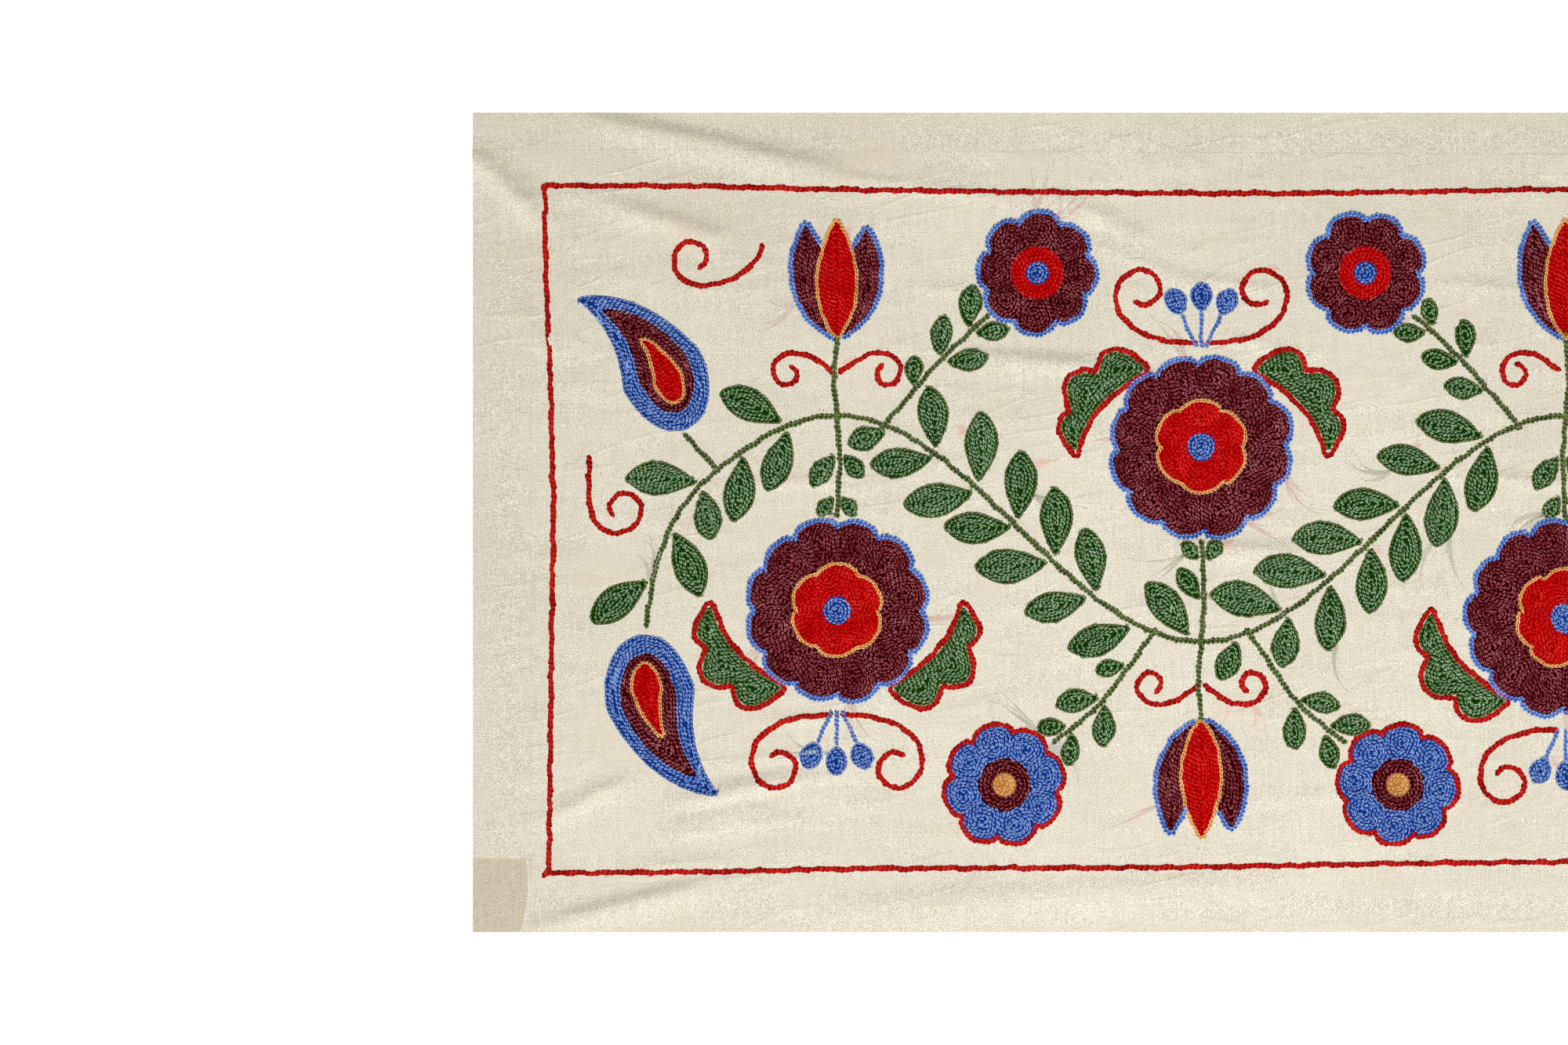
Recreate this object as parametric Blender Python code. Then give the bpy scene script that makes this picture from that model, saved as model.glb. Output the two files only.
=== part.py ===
# A long embroidered table cloth of unbleached cotton, lying flat in its creases.
# The ground is one thin sheet, and a small darker patch fills its lower left corner.
# Metres, +Z up: X runs along the cloth, Y across it, and the underside rests at Z = 0.

import math
from collections import namedtuple

import bmesh
import bpy
from mathutils import Vector

CLOTH_LENGTH = 1.20
CLOTH_WIDTH = 0.45
SHEET_THICKNESS = 0.0011

# The patch, measured from the cloth's lower left corner.
PATCH_TOP_LENGTH = 0.0289
PATCH_BASE_LENGTH = 0.0258
PATCH_SIDE_BULGE = 0.0026
PATCH_WIDTH = 0.0405
PATCH_SIDE_STEPS = 6
PATCH_GAP = 0.0003

# The sheet's mesh: square cells, halved twice where a fold crosses them.
COARSE_CELL = 0.025
FINE_LEVELS = 2
FOLD_MARGIN = 0.004

# Each end of a fold sinks away over this share of its length.
FADE_SHARE = 0.35

# A fold is a soft ridge. Seen along its run, the steep side lies to the left of the crest
# and the easy side to the right. The bow is how far the crest strays left at mid run.
Fold = namedtuple("Fold", "name start end height steep easy bow")
FOLDS = (
    Fold("top long", (-0.566, 0.2270), (-0.372, 0.1850), 0.0026, 0.007, 0.018, 0.0025),
    Fold("top corner", (-0.612, 0.2150), (-0.556, 0.1600), 0.0024, 0.006, 0.013, 0.0010),
    Fold("upper left", (-0.542, 0.1800), (-0.446, 0.1500), 0.0017, 0.007, 0.013, 0.0010),
    Fold("left short", (-0.577, 0.1230), (-0.556, 0.0890), 0.0014, 0.006, 0.008, 0.0000),
    Fold("bottom long", (-0.590, -0.2290), (-0.440, -0.1920), 0.0026, 0.006, 0.015, 0.0020),
    Fold("bottom broad", (-0.450, -0.2120), (-0.140, -0.1930), 0.0014, 0.011, 0.018, -0.0030),
    Fold("fan outer", (-0.564, -0.1670), (-0.510, -0.1390), 0.0015, 0.006, 0.011, 0.0010),
    Fold("fan middle", (-0.496, -0.1560), (-0.410, -0.1350), 0.0015, 0.006, 0.010, 0.0010),
    Fold("fan inner", (-0.505, -0.1710), (-0.425, -0.1540), 0.0012, 0.006, 0.009, 0.0005),
    Fold("mid upper", (-0.350, 0.0930), (-0.225, 0.0850), 0.0015, 0.006, 0.012, 0.0005),
    Fold("mid lower", (-0.230, -0.0130), (-0.125, -0.0180), 0.0014, 0.006, 0.012, 0.0010),
    Fold("upper slant", (-0.292, 0.1850), (-0.222, 0.1500), 0.0014, 0.006, 0.009, 0.0010),
    Fold("right top", (0.372, 0.1900), (0.548, 0.2280), 0.0022, 0.007, 0.016, -0.0020),
    Fold("right base", (0.300, -0.1980), (0.560, -0.2200), 0.0018, 0.008, 0.016, 0.0030),
    Fold("right middle", (0.180, 0.0620), (0.310, 0.0700), 0.0014, 0.006, 0.011, 0.0010),
    Fold("right slant", (0.420, -0.1180), (0.508, -0.1420), 0.0014, 0.006, 0.010, 0.0010),
)

# Colours are linear, roughness and metallic as the Principled shader takes them.
UNBLEACHED_COTTON = ((0.738, 0.686, 0.558), 0.92, 0.0)
DARKER_COTTON = ((0.565, 0.491, 0.386), 0.92, 0.0)


def remove_scene_objects():
    for item in list(bpy.data.objects):
        bpy.data.objects.remove(item, do_unlink=True)


def new_collection(name):
    collection = bpy.data.collections.new(name)
    bpy.context.scene.collection.children.link(collection)
    return collection


def cloth_material(name, finish):
    colour, roughness, metallic = finish
    material = bpy.data.materials.new(name)
    material.use_nodes = True
    shader = material.node_tree.nodes["Principled BSDF"]
    shader.inputs["Base Color"].default_value = (*colour, 1.0)
    shader.inputs["Roughness"].default_value = roughness
    shader.inputs["Metallic"].default_value = metallic
    return material


def eased(share):
    """0 below 0, 1 above 1, and a smooth rise between."""
    share = max(0.0, min(1.0, share))
    return share * share * (3.0 - 2.0 * share)


def place_on_fold(fold, x, y):
    """How far along a fold's run a point lies, from 0 to 1, and how far left of its crest."""
    run = Vector(fold.end) - Vector(fold.start)
    offset = Vector((x, y)) - Vector(fold.start)
    along = offset.dot(run) / run.length_squared
    left = (run.x * offset.y - run.y * offset.x) / run.length
    bowed = fold.bow * 4.0 * along * (1.0 - along)
    return along, left - bowed


def fold_height(fold, x, y):
    along, left = place_on_fold(fold, x, y)
    reach = fold.steep if left > 0.0 else fold.easy
    if not 0.0 < along < 1.0 or abs(left) >= reach:
        return 0.0
    crest = 0.5 * (1.0 + math.cos(math.pi * left / reach))
    fade = eased(along / FADE_SHARE) * eased((1.0 - along) / FADE_SHARE)
    return fold.height * crest * fade


def relief(x, y):
    """Height of the cloth's underside over the table."""
    return sum(fold_height(fold, x, y) for fold in FOLDS)


def crosses_fold(edge):
    """True for an edge of the mesh that lies on a fold, or within its own length of one."""
    middle = (edge.verts[0].co + edge.verts[1].co) / 2.0
    margin = edge.calc_length() / 2.0 + FOLD_MARGIN
    for fold in FOLDS:
        along, left = place_on_fold(fold, middle.x, middle.y)
        if 0.0 < along < 1.0 and -fold.easy - margin < left < fold.steep + margin:
            return True
    return False


def folded_sheet(name):
    """A closed sheet of small cells, finer on the folds, with each point raised to its height."""
    form = bmesh.new()
    bmesh.ops.create_grid(
        form,
        x_segments=round(CLOTH_LENGTH / COARSE_CELL),
        y_segments=round(CLOTH_WIDTH / COARSE_CELL),
        size=0.5,
    )
    bmesh.ops.scale(form, vec=(CLOTH_LENGTH, CLOTH_WIDTH, 1.0), verts=form.verts)
    for _ in range(FINE_LEVELS):
        split = [edge for edge in form.edges if crosses_fold(edge)]
        bmesh.ops.subdivide_edges(form, edges=split, cuts=1, use_grid_fill=True)
    bmesh.ops.triangulate(form, faces=form.faces)
    for point in form.verts:
        point.co.z = relief(point.co.x, point.co.y)

    # The top face is the underside's copy, straight above it, so the edges stay plumb.
    top = bmesh.ops.extrude_face_region(form, geom=form.faces[:], use_keep_orig=True)
    raised = [item for item in top["geom"] if isinstance(item, bmesh.types.BMVert)]
    bmesh.ops.translate(form, vec=(0.0, 0.0, SHEET_THICKNESS), verts=raised)
    bmesh.ops.recalc_face_normals(form, faces=form.faces)
    mesh = bpy.data.meshes.new(name)
    form.to_mesh(mesh)
    form.free()
    return mesh


def patch_outline(gap):
    """The patch seen from above, grown by a gap on the sides that meet the cloth."""
    left = -CLOTH_LENGTH / 2.0 - gap
    base = -CLOTH_WIDTH / 2.0 - gap
    top = -CLOTH_WIDTH / 2.0 + PATCH_WIDTH + gap
    points = [(left, base), (left, top)]
    for step in range(PATCH_SIDE_STEPS + 1):
        down = step / PATCH_SIDE_STEPS
        straight = PATCH_TOP_LENGTH + (PATCH_BASE_LENGTH - PATCH_TOP_LENGTH) * down
        bulge = PATCH_SIDE_BULGE * math.sin(math.pi * down)
        x = -CLOTH_LENGTH / 2.0 + straight + bulge + gap
        points.append((x, top + (base - top) * down))
    return points


def flat_plate(name, outline, thickness, middle_height, collection):
    """A flat outline with a thickness, centred on a height."""
    curve = bpy.data.curves.new(name, "CURVE")
    curve.dimensions = "2D"
    curve.fill_mode = "BOTH"
    curve.extrude = thickness / 2.0
    spline = curve.splines.new("POLY")
    spline.points.add(len(outline) - 1)
    for point, (x, y) in zip(spline.points, outline):
        point.co = (x, y, 0.0, 1.0)
    spline.use_cyclic_u = True
    plate = bpy.data.objects.new(name, curve)
    plate.location.z = middle_height
    collection.objects.link(plate)
    return plate


def closed_mesh_from_curve(plate):
    """The same plate as a mesh object, with the loose caps of the curve welded on."""
    name = plate.name
    collection = plate.users_collection[0]
    bpy.context.view_layer.update()
    evaluated = plate.evaluated_get(bpy.context.evaluated_depsgraph_get())
    mesh = bpy.data.meshes.new_from_object(evaluated)
    form = bmesh.new()
    form.from_mesh(mesh)
    bmesh.ops.remove_doubles(form, verts=form.verts, dist=0.00001)
    form.to_mesh(mesh)
    form.free()
    solid = bpy.data.objects.new(name + "_mesh", mesh)
    solid.matrix_world = plate.matrix_world.copy()
    collection.objects.link(solid)
    bpy.data.objects.remove(plate, do_unlink=True)
    solid.name = name
    return solid


def make_ground_cloth(collection, cutters):
    cloth = bpy.data.objects.new("ground_cloth", folded_sheet("ground_cloth"))
    cloth.data.materials.append(cloth_material("unbleached_cotton", UNBLEACHED_COTTON))
    collection.objects.link(cloth)

    notch = flat_plate("patch_notch", patch_outline(PATCH_GAP), 8.0 * SHEET_THICKNESS, 0.0, cutters)
    notch = closed_mesh_from_curve(notch)
    notch.hide_render = True
    notch.display_type = "WIRE"
    cut = cloth.modifiers.new("corner notch", "BOOLEAN")
    cut.object = notch
    cut.operation = "DIFFERENCE"
    return cloth


def make_corner_patch(collection):
    patch = flat_plate("corner_patch", patch_outline(0.0), SHEET_THICKNESS, SHEET_THICKNESS / 2.0, collection)
    patch = closed_mesh_from_curve(patch)
    patch.data.materials.append(cloth_material("darker_cotton", DARKER_COTTON))
    return patch


def main():
    remove_scene_objects()
    pieces = new_collection("embroidered_tablecloth")
    cutters = new_collection("cutters")
    make_ground_cloth(pieces, cutters)
    make_corner_patch(pieces)


main()
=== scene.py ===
import math

import bmesh
import bpy
import numpy as np
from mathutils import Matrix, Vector
from mathutils.geometry import delaunay_2d_cdt


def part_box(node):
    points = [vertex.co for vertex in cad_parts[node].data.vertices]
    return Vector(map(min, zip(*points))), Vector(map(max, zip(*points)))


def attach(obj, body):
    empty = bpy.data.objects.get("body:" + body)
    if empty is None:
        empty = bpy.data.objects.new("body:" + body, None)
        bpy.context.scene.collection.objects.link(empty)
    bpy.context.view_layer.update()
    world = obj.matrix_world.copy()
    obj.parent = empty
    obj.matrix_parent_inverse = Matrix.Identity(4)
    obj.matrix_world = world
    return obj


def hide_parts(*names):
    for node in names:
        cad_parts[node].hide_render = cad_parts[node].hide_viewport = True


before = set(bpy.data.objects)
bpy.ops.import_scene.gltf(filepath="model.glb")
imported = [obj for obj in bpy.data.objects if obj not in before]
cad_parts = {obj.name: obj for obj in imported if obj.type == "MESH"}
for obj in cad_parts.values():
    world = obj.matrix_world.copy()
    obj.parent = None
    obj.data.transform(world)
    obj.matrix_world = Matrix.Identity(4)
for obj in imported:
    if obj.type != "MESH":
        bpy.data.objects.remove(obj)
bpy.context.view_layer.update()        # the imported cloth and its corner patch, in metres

clothLow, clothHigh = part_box("ground_cloth")
mm = 0.001


# a colour given as 0 to 255 screen values
def linear(red, green, blue):
    values = [v / 255 for v in (red, green, blue)]
    return tuple(v / 12.92 if v <= 0.04045 else ((v + 0.055) / 1.055) ** 2.4 for v in values)


# Camera, floor and light. The camera looks straight down, and the cloth runs off its right side.
studio = {
    "metresPerPixel": 0.45 / 1045,      # the cloth's width over its width in the picture
    "frameWide": 2000,
    "frameTall": 1333,
    "clothLeft": 603,                   # where the cloth's upper left corner lies, in pixels
    "clothTop": 144,
    "lens": 90.0,
    "sensor": 36.0,
    "sunStrength": 2.3,
    "sunWidth": 16.0,                   # degrees, wide for soft shade
    "sunFrom": (-0.25, -1.0, 0.75),     # the side that the light comes from
    "sunColour": (0.84, 0.90, 0.92),
    "skyStrength": 0.30,
    "skyColour": (0.932, 0.833, 0.67),  # warmer than the sun, so shade is warm
    "lampPower": 6.76,
    "lampColour": (0.97, 1.0, 1.08),
    "lampSize": 0.4,
    "lampPlace": (-0.15, -0.37, 1.1),   # outside the camera's view
    "lampAim": (-0.27, -0.07, 0.0),
    "floorColour": (0.96, 0.96, 0.96),
    "floorGlow": 0.5,                   # keeps the floor white under the cloth's edge
    "floorSize": 9.0,
}


def plainMaterial(name, colour, roughness):
    material = bpy.data.materials.new(name)
    material.use_nodes = True
    shader = material.node_tree.nodes["Principled BSDF"]
    shader.inputs["Base Color"].default_value = (*colour, 1.0)
    shader.inputs["Roughness"].default_value = roughness
    shader.inputs["Specular IOR Level"].default_value = 0.0
    return material


def setUpStudio():
    scene = bpy.context.scene
    scale = studio["metresPerPixel"]
    wide = studio["frameWide"] * scale
    camera = bpy.data.objects.new("camera", bpy.data.cameras.new("camera"))
    scene.collection.objects.link(camera)
    camera.data.lens = studio["lens"]
    camera.data.sensor_width = studio["sensor"]
    camera.data.clip_end = 50.0
    camera.location = (
        clothLow.x + (studio["frameWide"] / 2 - studio["clothLeft"]) * scale,
        clothHigh.y - (studio["frameTall"] / 2 - studio["clothTop"]) * scale,
        wide * studio["lens"] / studio["sensor"],
    )
    scene.camera = camera

    bpy.ops.mesh.primitive_plane_add(size=studio["floorSize"])
    floor = bpy.context.active_object
    floor.name = "floor"
    white = plainMaterial("floorWhite", studio["floorColour"], 0.9)
    shader = white.node_tree.nodes["Principled BSDF"]
    shader.inputs["Emission Color"].default_value = (1.0, 1.0, 1.0, 1.0)
    shader.inputs["Emission Strength"].default_value = studio["floorGlow"]
    floor.data.materials.append(white)

    sun = bpy.data.objects.new("sun", bpy.data.lights.new("sun", "SUN"))
    scene.collection.objects.link(sun)
    sun.data.energy = studio["sunStrength"]
    sun.data.color = studio["sunColour"]
    sun.data.angle = math.radians(studio["sunWidth"])
    sun.rotation_euler = (-Vector(studio["sunFrom"])).to_track_quat("-Z", "Y").to_euler()

    lamp = bpy.data.objects.new("lamp", bpy.data.lights.new("lamp", "AREA"))
    scene.collection.objects.link(lamp)
    lamp.data.energy = studio["lampPower"]
    lamp.data.size = studio["lampSize"]
    lamp.data.color = studio["lampColour"]
    lamp.location = studio["lampPlace"]
    toAim = Vector(studio["lampAim"]) - lamp.location
    lamp.rotation_euler = toAim.to_track_quat("-Z", "Y").to_euler()

    world = bpy.data.worlds.new("sky")
    scene.world = world
    world.use_nodes = True
    sky = world.node_tree.nodes["Background"]
    sky.inputs["Color"].default_value = (*studio["skyColour"], 1.0)
    sky.inputs["Strength"].default_value = studio["skyStrength"]
    scene.view_settings.view_transform = "Standard"
    scene.view_settings.look = "None"
    print("studio: camera, floor and light")


# The cloth's relief. Each fold is a soft ridge: seen along its run, the steep side lies to the
# left of the crest. The first table holds the solid's own folds, the second finer creases.
# Each row: start, end, height, reach of the steep side and of the easy side, bow
mainFolds = (
    ((-0.566, 0.2270), (-0.372, 0.1850), 0.0026, 0.007, 0.018, 0.0025),
    ((-0.612, 0.2150), (-0.556, 0.1600), 0.0024, 0.006, 0.013, 0.0010),
    ((-0.542, 0.1800), (-0.446, 0.1500), 0.0017, 0.007, 0.013, 0.0010),
    ((-0.577, 0.1230), (-0.556, 0.0890), 0.0014, 0.006, 0.008, 0.0000),
    ((-0.590, -0.2290), (-0.440, -0.1920), 0.0026, 0.006, 0.015, 0.0020),
    ((-0.450, -0.2120), (-0.140, -0.1930), 0.0014, 0.011, 0.018, -0.0030),
    ((-0.564, -0.1670), (-0.510, -0.1390), 0.0015, 0.006, 0.011, 0.0010),
    ((-0.496, -0.1560), (-0.410, -0.1350), 0.0015, 0.006, 0.010, 0.0010),
    ((-0.505, -0.1710), (-0.425, -0.1540), 0.0012, 0.006, 0.009, 0.0005),
    ((-0.350, 0.0930), (-0.225, 0.0850), 0.0015, 0.006, 0.012, 0.0005),
    ((-0.230, -0.0130), (-0.125, -0.0180), 0.0014, 0.006, 0.012, 0.0010),
    ((-0.292, 0.1850), (-0.222, 0.1500), 0.0014, 0.006, 0.009, 0.0010),
    ((0.372, 0.1900), (0.548, 0.2280), 0.0022, 0.007, 0.016, -0.0020),
    ((0.300, -0.1980), (0.560, -0.2200), 0.0018, 0.008, 0.016, 0.0030),
    ((0.180, 0.0620), (0.310, 0.0700), 0.0014, 0.006, 0.011, 0.0010),
    ((0.420, -0.1180), (0.508, -0.1420), 0.0014, 0.006, 0.010, 0.0010),
)
fineCreases = (
    ((-0.6400, 0.2430), (-0.5350, 0.1400), 0.0015, 0.004, 0.009, 0.0000),
    ((-0.4269, 0.1934), (-0.2771, 0.1746), 0.0011, 0.004, 0.009, 0.0010),
    ((-0.5779, -0.1760), (-0.5001, -0.1300), 0.0011, 0.004, 0.007, 0.0010),
    ((-0.5016, -0.1573), (-0.3864, -0.1357), 0.0011, 0.004, 0.007, 0.0005),
    ((-0.5143, -0.1766), (-0.4077, -0.1594), 0.0009, 0.004, 0.007, 0.0005),
    ((-0.5186, -0.1900), (-0.4494, -0.1835), 0.0008, 0.003, 0.006, 0.0000),
    ((-0.4736, -0.1338), (-0.3844, -0.1222), 0.0009, 0.003, 0.006, 0.0005),
    ((-0.4432, -0.1095), (-0.3828, -0.1060), 0.0009, 0.003, 0.006, 0.0005),
    ((-0.3703, 0.1314), (-0.2897, 0.1221), 0.0008, 0.003, 0.006, 0.0000),
    ((-0.2765, 0.1622), (-0.1815, 0.1218), 0.0009, 0.003, 0.007, 0.0000),
    ((-0.2190, 0.1381), (-0.1470, 0.1244), 0.0009, 0.003, 0.006, 0.0000),
    ((-0.2014, 0.1071), (-0.1266, 0.0869), 0.0009, 0.003, 0.006, 0.0005),
    ((-0.3085, 0.0893), (-0.1875, 0.0777), 0.0007, 0.004, 0.008, 0.0005),
    ((-0.0766, 0.1331), (-0.0074, 0.1259), 0.0009, 0.003, 0.006, 0.0005),
    ((-0.0754, 0.0276), (0.0254, 0.0204), 0.0009, 0.004, 0.007, 0.0005),
    ((-0.1698, -0.1483), (-0.0402, -0.1527), 0.0007, 0.004, 0.008, 0.0005),
    ((-0.4854, 0.0193), (-0.3846, 0.0237), 0.0007, 0.004, 0.007, 0.0005),
    ((0.0402, -0.0913), (0.1698, -0.0827), 0.0008, 0.004, 0.008, 0.0005),
    ((0.2146, 0.1526), (0.3154, 0.1354), 0.0008, 0.004, 0.008, 0.0005),
    ((0.4446, 0.0291), (0.5454, 0.0349), 0.0008, 0.004, 0.008, 0.0005),
)
clothForm = {
    "under": 0.00045,                   # underside over the table: room for the stitches' backs
    "underEdge": 0.00008,
    "thickness": 0.00045,
    "reach": (0.6, 0.225),              # half the cloth's length and width
    "edgeFade": (0.040, 0.032),         # the strips in which it sinks to the table at its edges
    "cell": (0.010, 0.0025),            # the mesh's cells along and across
    "fadeShare": 0.35,                  # how much of a fold's length each end takes to sink away
    "puckerHeight": 0.00013,            # the sewing draws the cloth up a little
    "puckerWaves": 40,
    "puckerSeed": 5,
}


def eased(share):
    share = np.clip(share, 0.0, 1.0)
    return share * share * (3.0 - 2.0 * share)


def foldRelief(x, y, folds):
    total = np.zeros_like(x)
    fade = clothForm["fadeShare"]
    for start, end, height, steep, easy, bow in folds:
        runX, runY = end[0] - start[0], end[1] - start[1]
        length = math.hypot(runX, runY)
        along = ((x - start[0]) * runX + (y - start[1]) * runY) / length ** 2
        left = (runX * (y - start[1]) - runY * (x - start[0])) / length
        left = left - bow * 4.0 * along * (1.0 - along)
        reach = np.where(left > 0.0, steep, easy)
        crest = 0.5 * (1.0 + np.cos(np.pi * np.clip(left / reach, -1.0, 1.0)))
        total += height * crest * eased(along / fade) * eased((1.0 - along) / fade)
    return total


# faint uneven waves, mostly across the cloth, that come and go
def puckerRelief(x, y):
    random = np.random.default_rng(clothForm["puckerSeed"])
    total = np.zeros_like(x)
    count = clothForm["puckerWaves"]
    for _ in range(count):
        across = random.uniform(0.010, 0.030)
        along = random.uniform(0.05, 0.20) * random.choice((-1, 1))
        phase, drift = random.uniform(0, 2 * np.pi, 2)
        swell = 0.5 + 0.5 * np.sin(x * random.uniform(8, 40) + y * random.uniform(-40, 40) + drift)
        total += swell ** 2 * np.sin(2 * np.pi * (y / across + x / along) + phase)
    total = total / math.sqrt(count) * 1.9
    return clothForm["puckerHeight"] * (1.1 + np.clip(total, -1.1, 2.0))


# height of the cloth's underside
def reliefAt(x, y):
    (halfLength, halfWidth), (fadeX, fadeY) = clothForm["reach"], clothForm["edgeFade"]
    inside = eased((halfLength - abs(x)) / fadeX) * eased((halfWidth - abs(y)) / fadeY)
    rest = clothForm["underEdge"] + (clothForm["under"] - clothForm["underEdge"]) * inside
    pucker = puckerRelief(x, y) * (0.25 + 0.75 * inside)
    return rest + foldRelief(x, y, mainFolds) + foldRelief(x, y, fineCreases) + pucker


def topAt(x, y):
    return reliefAt(x, y) + clothForm["thickness"]


# Small helpers for objects and meshes

def pointsOf(mesh):
    flat = np.empty(len(mesh.vertices) * 3, dtype=np.float32)
    mesh.vertices.foreach_get("co", flat)
    return flat.reshape(-1, 3).astype(np.float64)


def setPoints(mesh, points):
    mesh.vertices.foreach_set("co", points.astype(np.float32).ravel())
    mesh.update()


def newObject(name, mesh):
    made = bpy.data.objects.new(name, mesh)
    bpy.context.scene.collection.objects.link(made)
    return made


# a mesh made from a bmesh, which is freed, with its faces pointing out
def newMesh(name, form):
    bmesh.ops.recalc_face_normals(form, faces=form.faces)
    mesh = bpy.data.meshes.new(name)
    form.to_mesh(mesh)
    form.free()
    return mesh


# sharp edges between what faces up and down, so the light stays even right out to a rim
def sharpenRims(form):
    bmesh.ops.recalc_face_normals(form, faces=form.faces)
    for edge in form.edges:
        edge.smooth = len({face.normal.z > 0 for face in edge.link_faces}) < 2


# give flat faces a copy above them and walls between
def thicken(form, faces, height):
    raised = bmesh.ops.extrude_face_region(form, geom=faces, use_keep_orig=True)
    up = [item for item in raised["geom"] if isinstance(item, bmesh.types.BMVert)]
    bmesh.ops.translate(form, vec=(0, 0, height), verts=up)


# leave the object with a plain mesh
def applyModifiers(made):
    bpy.context.view_layer.update()
    evaluated = made.evaluated_get(bpy.context.evaluated_depsgraph_get())
    mesh = bpy.data.meshes.new_from_object(evaluated)
    made.modifiers.clear()
    made.data = mesh


# several objects as one
def joined(name, parts):
    if len(parts) > 1:
        bpy.ops.object.select_all(action="DESELECT")
        for part in parts:
            part.select_set(True)
        bpy.context.view_layer.objects.active = parts[0]
        bpy.ops.object.join()
    parts[0].name = name
    parts[0].data.name = name
    return parts[0]


def countTriangles(made):
    return sum(len(face.vertices) - 2 for face in made.data.polygons)


# link a node's socket, or give it a value
def feed(tree, socket, value):
    if isinstance(value, bpy.types.NodeSocket):
        tree.links.new(value, socket)
    else:
        socket.default_value = value


# Materials. Every texture reads Object coordinates or an attribute of its own mesh.

# short ways to add and join a material's nodes
class Nodes:
    def __init__(self, name):
        self.material = bpy.data.materials.new(name)
        self.material.use_nodes = True
        self.tree = self.material.node_tree
        self.shader = self.tree.nodes["Principled BSDF"]
        self.where = self.add("ShaderNodeTexCoord").outputs["Object"]

    def put(self, socket, value):
        feed(self.tree, socket, value)

    def add(self, kind, **inputs):
        node = self.tree.nodes.new(kind)
        for key, value in inputs.items():
            self.put(node.inputs[key.replace("_", " ")], value)
        return node

    # scale is a number, or one for each axis
    def noise(self, scale, detail=2.0, roughness=0.5, turn=0.0):
        vector = self.where
        if not isinstance(scale, float):
            vector = self.add("ShaderNodeVectorRotate", Vector=vector, Angle=turn).outputs["Vector"]
            vector = self.add("ShaderNodeMapping", Vector=vector, Scale=scale).outputs["Vector"]
            scale = 1.0
        node = self.add("ShaderNodeTexNoise", Vector=vector, Scale=scale, Detail=detail, Roughness=roughness)
        return node.outputs["Fac"]

    def attribute(self, name):
        node = self.tree.nodes.new("ShaderNodeAttribute")
        node.attribute_name = name
        return node

    def math(self, operation, *values):
        node = self.tree.nodes.new("ShaderNodeMath")
        node.operation = operation
        for socket, value in zip(node.inputs, values):
            self.put(socket, value)
        return node.outputs[0]

    # base plus each term's value, less its middle, times its weight
    def total(self, base, *terms):
        for value, middle, weight in terms:
            base = self.math("MULTIPLY_ADD", self.math("SUBTRACT", value, middle), weight, base)
        return base

    def mix(self, share, first, second):
        node = self.tree.nodes.new("ShaderNodeMix")
        node.data_type = "RGBA"
        self.put(node.inputs[0], share)
        self.put(node.inputs[6], first)
        self.put(node.inputs[7], second)
        return node.outputs[2]

    def remap(self, value, low, high, outLow=0.0, outHigh=1.0):
        node = self.tree.nodes.new("ShaderNodeMapRange")
        for socket, item in zip(node.inputs, (value, low, high, outLow, outHigh)):
            self.put(socket, item)
        return node.outputs[0]

    # a colour ramp of (place, colour) stops
    def ramp(self, share, *stops):
        node = self.add("ShaderNodeValToRGB", Fac=share)
        while len(node.color_ramp.elements) < len(stops):
            node.color_ramp.elements.new(0.5)
        for element, (place, colour) in zip(node.color_ramp.elements, stops):
            element.position = place
            element.color = (*colour, 1.0)
        return node.outputs["Color"]

    def set(self, **values):
        for key, value in values.items():
            self.put(self.shader.inputs[key.replace("_", " ")], value)


weave = {
    "pitch": 0.00076,                   # one thread, metres
    "weaveBump": 0.00011,
    "creaseBump": 0.00024,
    # painted shade: a pressed crease along the top edge and one down the left side, darkened in the cloth's
    # colour
    "topCreaseLine": (0.2022, -0.005),        # a pressed line along the top edge: Y at the middle, slope
    "sideCreaseLine": -0.5680,                # and one down the left side
    "dark": linear(190, 179, 155),
    "middle": linear(221, 213, 195),
    "pale": linear(250, 244, 229),
    "fleck": linear(118, 100, 72),
    # the corner patch: the same cotton, coloured darker as painted shade where it lies low beside the cloth
    "patchDark": linear(176, 161, 136),
    "patchMiddle": linear(207, 193, 170),
    "patchPale": linear(229, 218, 198),
}


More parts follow.
